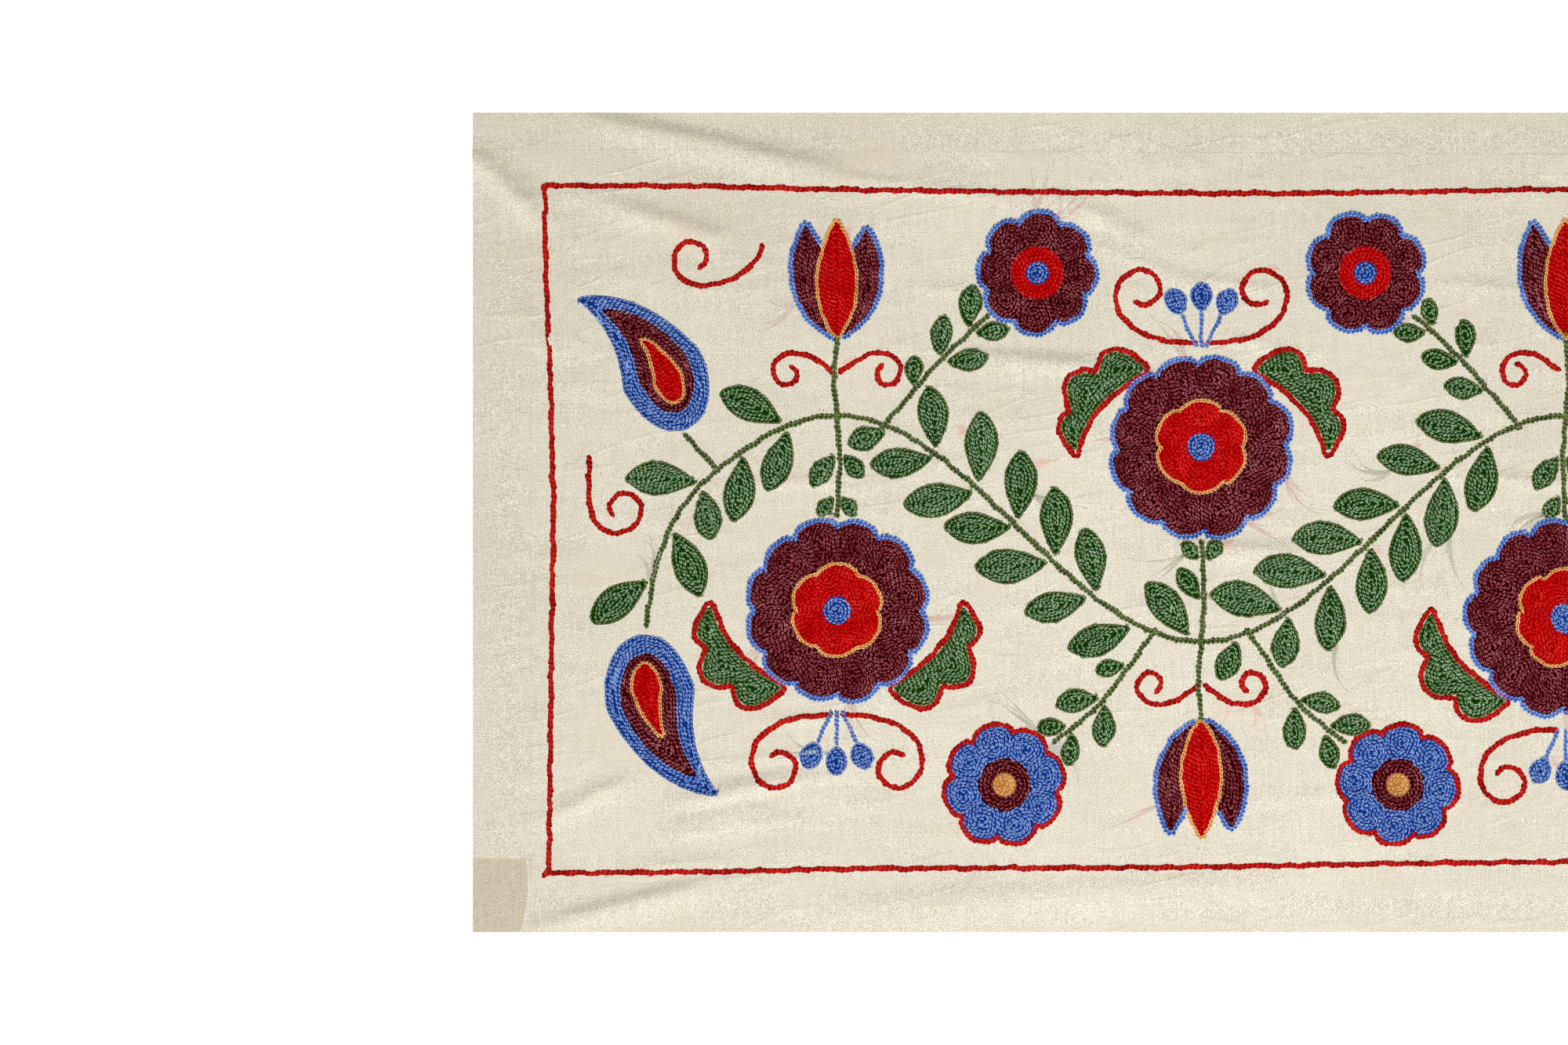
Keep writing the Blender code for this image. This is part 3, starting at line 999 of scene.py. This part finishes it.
# rows down the middle of the strips that a level's rows leave between them
def spineRows(depth, low, level, gap, nextRows):
    deeper = np.vstack(nextRows) if nextRows else np.full((1, 2), 1e6)
    rows = []
    for line in contourLines(depth, low, level + 0.62 * gap):
        line = evenly(line, stitchForm["pointGap"], True)
        apart = np.linalg.norm(line[:, None] - deeper[None], axis=2).min(axis=1)
        keep = apart > 0.9 * gap
        # the line runs up one side of the strip and back down the other: one is enough
        between = np.linalg.norm(line[:, None] - line[None], axis=2)
        order = np.arange(len(line))
        steps = abs(order[:, None] - order[None])
        steps = np.minimum(steps, len(line) - steps)
        twins = (between < 0.85 * gap) & (steps > 4)
        for i in order:
            keep[i] &= not (twins[i, :i] & keep[:i]).any()
        if not keep.all():
            rows += [run for run in openRuns(line, keep) if len(run) > 2]
    return rows


# the rows that fill a shape, outermost first, as (points, closed)
def fillRows(outline, holes, spare):
    depth, low = depthField([outline], holes, spare)
    deepest = depth.max()
    count = max(1, int(round(deepest / stitchForm["rowGap"])))
    gap = deepest / count
    shortest = 1.3 * rowKinds["fill"][1]
    levels, rows = [], []
    for i in range(count):
        found = contourLines(depth, low, (i + 0.5) * gap)
        lines = [evenly(line, stitchForm["pointGap"], True) for line in found]
        levels.append([line for line in lines if runOf(line)[-1] > shortest])
        rows.append([(line, True) for line in levels[i]])
        # a loop too small to sew round becomes one stitch across it
        for line in lines:
            if runOf(line)[-1] <= shortest:
                middle = line.mean(axis=0)
                reach = line[np.argmax(np.linalg.norm(line - middle, axis=1))] - middle
                reach *= 1.2 / max(np.linalg.norm(reach), 0.01)
                rows[i].append((np.array([middle - reach, middle, middle + reach]), False))
    for i in range(count):
        spines = spineRows(depth, low, (i - 0.5) * gap, gap, levels[i])
        rows[i] += [(line, False) for line in spines]
    return rows


# rows round the outlines as (points, closed), broken where they meet a shape to keep clear
def edgeRows(outlines, offset, clear):
    depth, low = depthField(outlines)
    rows = []
    for line in contourLines(depth, low, -offset):
        if signedArea(line) < 0:
            continue
        line = evenly(line, stitchForm["pointGap"], True)
        keep = np.ones(len(line), bool)
        for shape in clear:
            keep &= depthOf(line, shape) < -stitchForm["clearance"]
        if keep.all():
            rows.append((line, True))
            continue
        rows += [(run, False) for run in openRuns(line, keep) if len(run) > 4]
    return rows


# the same line, straying a little from side to side as a hand would
def wandering(line, closed, amount, random):
    run = runOf(line)
    total = run[-1] + (np.linalg.norm(line[0] - line[-1]) if closed else 0.0)
    stray = np.zeros(len(line))
    for wave in (9.0, 16.0, 31.0):
        turns = max(1, round(total / (wave * random.uniform(0.8, 1.25))))
        stray += np.sin(2 * np.pi * turns * run / total + random.uniform(0, 2 * np.pi))
    return line + acrossOf(line) * (amount * stray / 1.6)[:, None]


# one loop of chain stitch: two arms that leave a point, part and meet again. A dash has one arm
def makeLink(kind):
    corners, *stations = links[kind]
    armHeight = stitchForm["armHeight"]
    # painted shade: each corner's shade is a lightness for the thread's colour ramp, and an arm's sides are
    # painted darker than its crest, less so on the cords
    sides = 0.8 if kind == "full" else 0.4      # how light an arm's sides are against its crest
    form = bmesh.new()
    shade = form.verts.layers.float.new("shade")

    def point(place, light):
        vert = form.verts.new(place)
        vert[shade] = light
        return vert

    for side in (-1, 1) if kind != "dash" else (1,):
        rings = []
        for along, aside, height, half, light in stations:
            along += stitchForm["slant"] * side
            if half == 0:
                rings.append([point((along, side * aside, height), light)])
                continue
            angles = [math.pi / 2 + 2 * math.pi * corner / corners for corner in range(corners)]
            rings.append([point(
                (along, side * aside + half * math.cos(angle), height + armHeight * half * math.sin(angle)),
                light if angle < 2 else sides * light,
            ) for angle in angles])
        for a, b in zip(rings, rings[1:]):
            for corner in range(corners):
                after = (corner + 1) % corners
                if len(a) == 1:
                    form.faces.new((a[0], b[corner], b[after]))
                elif len(b) == 1:
                    form.faces.new((a[corner], b[0], a[after]))
                else:
                    form.faces.new((a[corner], b[corner], b[after], a[after]))
    if kind == "open":
        # a small core in the loop's hole, painted dark as the shade inside the loop
        ends = [point((along, 0, 0.12), 0.1) for along in (0.0, 1.05)]
        middle = [point((0.55, y, z), 0.15) for y, z in ((-0.2, 0.1), (0, 0.25), (0.2, 0.1), (0, 0.02))]
        for i in range(4):
            form.faces.new((ends[0], middle[i], middle[i - 1]))
            form.faces.new((ends[1], middle[i - 1], middle[i]))
    if kind in ("full", "open"):
        sharpenRims(form)
    mesh = newMesh(kind + "_link", form)
    mesh.shade_smooth()
    return newObject(kind + "_link", mesh)


# rows of points become chains: a link at every stitch, turned along its row
def stitchTree():
    tree = bpy.data.node_groups.new("chain_rows", "GeometryNodeTree")
    inputs = {
        "Geometry": "Geometry", "Link": "Object", "Stitch length": "Float", "Stitch width": "Float",
        "Stitch height": "Float", "Unevenness": "Float", "Sway": "Float", "Seed": "Int", "Thread": "Material",
    }
    for name, kind in inputs.items():
        tree.interface.new_socket(name, in_out="INPUT", socket_type="NodeSocket" + kind)
    tree.interface.new_socket("Geometry", in_out="OUTPUT", socket_type="NodeSocketGeometry")
    given = tree.nodes.new("NodeGroupInput").outputs

    def add(kind, settings=None, **values):
        node = tree.nodes.new(kind)
        for key, value in (settings or {}).items():
            setattr(node, key, value)
        for key, value in values.items():
            feed(tree, node.inputs[key.replace("_", " ")], value)
        return node

    def math2(operation, first, second):
        node = add("ShaderNodeMath", {"operation": operation})
        for socket, value in zip(node.inputs, (first, second)):
            feed(tree, socket, value)
        return node.outputs[0]

    def chance(low, high, lot):
        node = add("FunctionNodeRandomValue", {"data_type": "FLOAT"}, Seed=math2("ADD", given["Seed"], lot))
        for name, value in (("Min", low), ("Max", high)):
            socket = [item for item in node.inputs if item.name == name and item.type == "VALUE"][0]
            feed(tree, socket, value)
        return [item for item in node.outputs if item.type == "VALUE"][0]

    rows = add("GeometryNodeMeshToCurve", Mesh=given["Geometry"])
    spaced = add("GeometryNodeResampleCurve", {"mode": "LENGTH"}, Curve=rows.outputs["Curve"],
                 Length=given["Stitch length"])
    tangent = add("GeometryNodeInputTangent").outputs["Tangent"]
    facing = add("FunctionNodeAlignRotationToVector", {"axis": "X", "pivot_axis": "Z"}, Vector=tangent)
    sway = chance(math2("MULTIPLY", given["Sway"], -1.0), given["Sway"], 3)
    swayed = add("FunctionNodeAxisAngleToRotation", Axis=(0.0, 0.0, 1.0), Angle=sway)
    turn = add("FunctionNodeRotateRotation", Rotation=facing.outputs["Rotation"],
               Rotate_By=swayed.outputs["Rotation"])
    spread = chance(math2("SUBTRACT", 1.0, given["Unevenness"]), math2("ADD", given["Unevenness"], 1.0), 5)
    rise = chance(math2("SUBTRACT", 1.0, given["Unevenness"]), math2("ADD", given["Unevenness"], 1.0), 7)
    width = math2("MULTIPLY", given["Stitch width"], spread)
    height = math2("MULTIPLY", given["Stitch height"], rise)
    size = add("ShaderNodeCombineXYZ", X=given["Stitch length"], Y=width, Z=height)
    link = add("GeometryNodeObjectInfo", Object=given["Link"])
    chain = add("GeometryNodeInstanceOnPoints", Points=spaced.outputs["Curve"],
                Instance=link.outputs["Geometry"], Rotation=turn.outputs["Rotation"],
                Scale=size.outputs["Vector"])
    tone = add("GeometryNodeStoreNamedAttribute", {"data_type": "FLOAT", "domain": "INSTANCE"},
               Geometry=chain.outputs["Instances"], Name="tone", Value=chance(0.0, 1.0, 9))
    solid = add("GeometryNodeRealizeInstances", Geometry=tone.outputs["Geometry"])
    sewn = add("GeometryNodeSetMaterial", Geometry=solid.outputs["Geometry"], Material=given["Thread"])
    result = tree.nodes.new("NodeGroupOutput")
    tree.links.new(sewn.outputs["Geometry"], result.inputs["Geometry"])
    return tree


# the sewing tools: the node tree and one object for each kind of link
class Sewing:
    def __init__(self):
        self.tree = stitchTree()
        self.links = {kind: makeLink(kind) for kind in links}
        self.seed = stitchForm["seed"]

    # chains along rows of (points, closed), as a plain mesh that lies flat
    def sew(self, name, kind, rows, material):
        link, length, width, height, stray = rowKinds[kind]
        self.seed += 20
        random = np.random.default_rng(self.seed)
        points, edges = [], []
        start = 0
        for line, closed in rows:
            line = wandering(line, closed, stray, random)
            points.append(np.column_stack([line * mm, np.zeros(len(line))]))
            index = np.arange(start, start + len(line))
            edges.append(np.column_stack([index[:-1], index[1:]]))
            if closed:
                edges.append(index[[-1, 0]][None])
            start += len(line)
        mesh = bpy.data.meshes.new(name)
        mesh.from_pydata(np.vstack(points), np.vstack(edges), [])
        made = newObject(name, mesh)
        chain = made.modifiers.new("chain stitches", "NODES")
        chain.node_group = self.tree
        sway = stitchForm["fillSway" if kind == "fill" else "sway"]
        values = {
            "Link": self.links[link], "Stitch length": length * mm, "Stitch width": width * mm,
            "Stitch height": height * mm, "Unevenness": stitchForm["unevenness"],
            "Sway": sway, "Seed": self.seed, "Thread": material,
        }
        for item in self.tree.interface.items_tree:
            if item.in_out == "INPUT" and item.name in values:
                chain[item.identifier] = values[item.name]
        applyModifiers(made)
        return made

    def putAway(self):
        for link in self.links.values():
            bpy.data.objects.remove(link)


# raise a flat-lying piece to the cloth's upper face or underside
def layOnCloth(made, surface, lift=0.0):
    points = pointsOf(made.data)
    points[:, 2] += surface(points[:, 0], points[:, 1]) + lift
    setPoints(made.data, points)


# thin cushions of thread under the rows, coloured darker than the thread as painted shade in the gaps between
# rows, each (closed lines, layer)
def makePads(name, pads, material):
    form = bmesh.new()
    for lines, layer in pads:
        rims = [evenly(line, 3.0, True) for line in lines]
        low = np.min([rim.min(axis=0) for rim in rims], axis=0)
        high = np.max([rim.max(axis=0) for rim in rims], axis=0)
        inner, _ = gridPoints(low, high, *stitchForm["padPoints"])
        for rim in rims:
            inner = inner[abs(depthOf(inner, rim)) > 1.2]
        points = np.vstack(rims + [inner])
        edges, start = [], 0
        for rim in rims:
            edges += [(start + i, start + (i + 1) % len(rim)) for i in range(len(rim))]
            start += len(rim)
        made, _, faces = delaunay_2d_cdt([Vector(point) for point in points], edges, [], 0, 1e-4)[:3]
        made = np.array(made)
        middles = np.array([made[face].mean(axis=0) for face in faces])
        wanted = np.zeros(len(faces), bool)
        for rim in rims:
            wanted ^= isInside(middles, rim)
        height = (0.02 + 0.05 * layer) * mm
        verts = [form.verts.new((x * mm, y * mm, height)) for x, y in made]
        lower = [form.faces.new([verts[i] for i in face]) for face, use in zip(faces, wanted) if use]
        thicken(form, lower, stitchForm["padThickness"] * mm)
    loose = [vert for vert in form.verts if not vert.link_faces]
    bmesh.ops.delete(form, geom=loose, context="VERTS")
    mesh = newMesh(name, form)
    mesh.materials.append(material)
    return newObject(name, mesh)


# the pattern's rows by thread colour and kind, and its pads by colour
def sortRows(pattern):
    rows = {colour: {} for colour in threads}
    pads = {colour: [] for colour in threads}
    for colour, outlines, holes, spare, layer in pattern.fills:
        for outline in outlines:
            for depth, lines in enumerate(fillRows(outline, holes, spare)):
                thread = "olive" if colour == "green" and depth == 0 else colour
                rows[thread].setdefault("fill", []).extend(lines)
        # a pad reaches a little under its neighbours, but not past the edge of a lone shape
        inset = stitchForm["padInset"] if len(outlines) == 1 and layer == 0 else 0.0
        depth, low = depthField(outlines, holes, max(0.0, spare - stitchForm["padSpare"]), inset)
        lines = contourLines(depth, low, -stitchForm["padPast"])
        lines = [line for line in lines if runOf(line)[-1] > stitchForm["padShortest"]]
        pads[colour].append((lines, layer))
    for colour, outlines, offset, clear in pattern.edges:
        kind = "fine" if colour == "gold" else "curl" if colour == "red" else "edge"
        thread = "cord" if colour == "red" else colour
        rows[thread].setdefault(kind, []).extend(edgeRows(outlines, offset, clear))
    for colour, points, kind in pattern.lines:
        thread = {"stem": "olive", "curl": "cord"}.get(kind, colour)
        points = evenly(points, stitchForm["pointGap"], False)
        rows[thread].setdefault(kind, []).append((points, False))
    for side in (-1, 1):
        for name in ("top", "left", "bottom"):
            points = smoothLine(border[name], 14) * np.array((-side, 1.0))
            rows["cord"].setdefault("border", []).append((evenly(points, 1.2, False), False))
    return rows, pads


def makeEmbroidery(pattern):
    rows, pads = sortRows(pattern)
    print("rows worked out")
    sewing = Sewing()
    pieces = []

    def finished(name, parts, surface, lift):
        piece = joined(name, parts)
        layOnCloth(piece, surface, lift)
        pieces.append(piece)
        print(name, countTriangles(piece), "triangles")

    for colour, look in threads.items():
        thread = threadMaterial(colour + "Thread", *look)
        # painted shade: the pads are coloured darker than the thread's darkest, so the gaps between rows read
        # as shade
        gap = plainMaterial(colour + "PaintedShadeGaps", tuple(0.8 * c for c in look[0]), 0.95)
        parts = [sewing.sew(colour + "_" + kind, kind, lines, thread) for kind, lines in rows[colour].items()]
        if pads[colour]:
            parts.append(makePads(colour + "_pads", pads[colour], gap))
        finished(colour + "_embroidery", parts, topAt, 0.0)
        backRows = [row for lines in rows[colour].values() for row in lines]
        back = [sewing.sew(colour + "_back", "back", backRows, thread)]
        finished(colour + "_reverse", back, reliefAt, -stitchForm["backSink"] * mm)
    sewing.putAway()
    print("embroidery:", sum(countTriangles(piece) for piece in pieces), "triangles")
    return pieces


# The ground cloth, its corner patch, and the thread ends that show through
patchForm = {
    "topLength": 0.0289,                # as in the solid
    "baseLength": 0.0258,
    "sideBulge": 0.0026,
    "width": 0.0405,
    "underlap": 0.0016,                 # how far the patch runs under the cloth
    "under": 0.00005,                   # its underside over the table
    "thickness": 0.00040,
}


def patchOutline(grow):
    left, base = clothLow.x - grow, clothLow.y - grow
    top = clothLow.y + patchForm["width"] + grow
    points = [(left, base), (left, top)]
    for down in np.linspace(0, 1, 12):
        straight = patchForm["topLength"] + (patchForm["baseLength"] - patchForm["topLength"]) * down
        bulge = patchForm["sideBulge"] * math.sin(math.pi * down)
        points.append((clothLow.x + straight + bulge + grow, top + (base - top) * down))
    return points


def flatSolid(name, outline, low, high):
    form = bmesh.new()
    face = form.faces.new([form.verts.new((x, y, low)) for x, y in outline])
    thicken(form, [face], high - low)
    return newObject(name, newMesh(name, form))


def makeGroundCloth():
    length, width = clothHigh.x - clothLow.x, clothHigh.y - clothLow.y
    form = bmesh.new()
    cells = (round(length / clothForm["cell"][0]), round(width / clothForm["cell"][1]))
    bmesh.ops.create_grid(form, x_segments=cells[0], y_segments=cells[1], size=0.5)
    bmesh.ops.scale(form, vec=(length, width, 1), verts=form.verts)
    middles = np.array([((e.verts[0].co + e.verts[1].co) / 2)[:2] for e in form.edges])
    folded = foldRelief(middles[:, 0], middles[:, 1], mainFolds + fineCreases) > 0.0001
    split = [edge for edge, near in zip(form.edges, folded) if near and edge.calc_length() > 0.005]
    bmesh.ops.subdivide_edges(form, edges=split, cuts=1, use_grid_fill=True)
    thicken(form, form.faces[:], clothForm["thickness"])
    cloth = newObject("cotton_ground", newMesh("cotton_ground", form))
    cutter = flatSolid("notch", patchOutline(0.0), -0.01, 0.01)
    cut = cloth.modifiers.new("notch", "BOOLEAN")
    cut.object = cutter
    cut.operation = "DIFFERENCE"
    applyModifiers(cloth)
    bpy.data.objects.remove(cutter)
    layOnCloth(cloth, reliefAt)
    cloth.data.shade_smooth()
    cloth.data.set_sharp_from_angle(angle=math.radians(60))
    cloth.data.materials.clear()
    cotton = clothMaterial("plainCotton", weave["dark"], weave["middle"], weave["pale"])
    cloth.data.materials.append(cotton)
    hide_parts("ground_cloth")
    print("cloth:", countTriangles(cloth), "triangles")
    return cloth, cotton


def makeCornerPatch():
    outline = [(max(x, clothLow.x), max(y, clothLow.y)) for x, y in patchOutline(patchForm["underlap"])]
    under = patchForm["under"]
    patch = flatSolid("dark_corner_patch", outline, under, under + patchForm["thickness"])
    # the same cotton, painted darker as shade
    patch.data.materials.append(
        clothMaterial("cottonInPaintedShade", weave["patchDark"], weave["patchMiddle"], weave["patchPale"]))
    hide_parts("corner_patch")
    return patch


threadEnds = {
    "count": 110,                       # places, each with one to five ends
    "length": (9.0, 34.0),              # millimetres, as are the widths
    "width": (2.4, 4.2),
    "blurWidth": (5.0, 9.0),
    "blurShare": 0.45,
    "rise": 0.15,
    "strength": (0.34, 0.68),
    "field": (590, 215),                # no end reaches past this, along and across
    "seed": 23,
    "tints": {
        "green": linear(132, 140, 118), "red": linear(226, 150, 142), "maroon": linear(196, 148, 142),
        "blue": linear(150, 156, 172), "gold": linear(208, 180, 138),
    },
}


# a low ridge in the cloth's own material, tinted along the middle and fading to the sides
def addThreadEnd(form, line, width, rise, strength, colour):
    stain, tint = form.verts.layers.float["stain"], form.verts.layers.float_color["tint"]
    rings = []
    for i, (point, aside) in enumerate(zip(line, acrossOf(line))):
        share = i / (len(line) - 1)
        half = 0.5 * width * (0.25 + 0.75 * math.sin(math.pi * min(1, 0.35 + share)) ** 0.5)
        half = max(half if share < 1 else 0.1, 0.1)
        ring = []
        for off, light in ((-1, 0.0), (-0.45, 0.8), (0, 1.0), (0.45, 0.8), (1, 0.0), (0, 0.0)):
            height = rise * (0.7 + 0.3 * light)
            if light == 0:
                height = -0.06 if len(ring) < 5 else -0.16
            x, y = point + aside * off * half
            vert = form.verts.new((x * mm, y * mm, height * mm))
            vert[stain] = light * strength * (1 - share) ** 0.3
            vert[tint] = (*colour, 1.0)
            ring.append(vert)
        rings.append(ring)
    for a, b in zip(rings, rings[1:]):
        for i in range(6):
            form.faces.new((a[i], b[i], b[i - 1], a[i - 1]))
    form.faces.new(rings[0])
    form.faces.new(rings[-1][::-1])


def makeThreadEnds(pattern, cotton):
    random = np.random.default_rng(threadEnds["seed"])
    form = bmesh.new()
    form.verts.layers.float.new("stain")
    form.verts.layers.float_color.new("tint")
    starts = [(colour, outline) for colour, outlines, *_ in pattern.fills for outline in outlines]
    starts += [(colour, points) for colour, points, kind in pattern.lines if kind != "stem"]
    for _ in range(threadEnds["count"]):
        colour, outline = starts[random.integers(len(starts))]
        at = random.integers(len(outline))
        outward = outline[at] - outline.mean(axis=0)
        angle = math.atan2(outward[1], outward[0]) + random.uniform(-0.8, 0.8)
        blurred = random.random() < threadEnds["blurShare"]
        bend = random.uniform(-1.6, 1.6)
        for _ in range(random.integers(1, 3) if blurred else random.integers(2, 6)):
            length = random.uniform(*threadEnds["length"]) * (0.45 if blurred else 1.0)
            width = random.uniform(*threadEnds["blurWidth" if blurred else "width"])
            strength = random.uniform(*threadEnds["strength"]) * (0.8 if blurred else 1.0)
            line = arcLine(length, bend + random.uniform(-0.8, 0.8), 7, ease=1.5)
            line = placed(line, outline[at], angle + random.uniform(-0.4, 0.4))
            if (abs(line).max(axis=0) < threadEnds["field"]).all():
                rise = threadEnds["rise"] * (0.75 if blurred else 1.0)
                tint = threadEnds["tints"]["red" if blurred else colour]
                addThreadEnd(form, line, width, rise, strength, tint)
    sharpenRims(form)
    mesh = newMesh("thread_ends", form)
    mesh.shade_smooth()
    mesh.materials.append(cotton)
    ends = newObject("thread_ends_behind_cloth", mesh)
    layOnCloth(ends, topAt)
    print("thread ends:", countTriangles(ends), "triangles")
    return ends


setUpStudio()
pattern = drawPattern()
cloth, cotton = makeGroundCloth()
pieces = [cloth, makeCornerPatch(), makeThreadEnds(pattern, cotton)] + makeEmbroidery(pattern)
for piece in pieces:
    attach(piece, "root")
print("in all:", sum(countTriangles(piece) for piece in pieces), "triangles")
